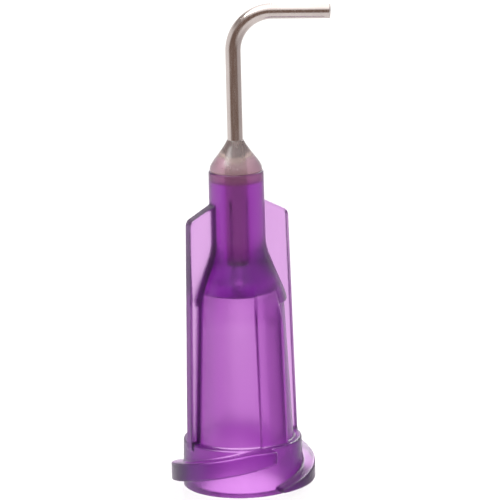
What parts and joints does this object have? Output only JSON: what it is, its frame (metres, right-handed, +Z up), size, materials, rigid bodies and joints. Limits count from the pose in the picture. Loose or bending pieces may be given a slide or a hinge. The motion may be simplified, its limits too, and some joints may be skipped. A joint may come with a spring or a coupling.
{
  "type": "bent dispensing tip",
  "caption": "Blunt bent steel dispensing tip bonded into a translucent purple luer-lock hub with grip wings.",
  "frame": {"origin": "centre of the luer socket's mouth, on the hub's mouth face", "axes": "+Z up the hub's axis towards the nose, +X the way the cannula's arm points after the bend"},
  "size_m": [0.0091, 0.0078, 0.0261],
  "materials": {
    "hub_plastic": "translucent moulded polypropylene",
    "cannula_steel": "drawn stainless tube",
    "cured_adhesive": "clear cured resin, slightly hazy"
  },
  "bodies": {
    "root": {"hub": "hub_plastic", "cannula": "cannula_steel", "adhesive": "cured_adhesive"}
  },
  "joints": []
}
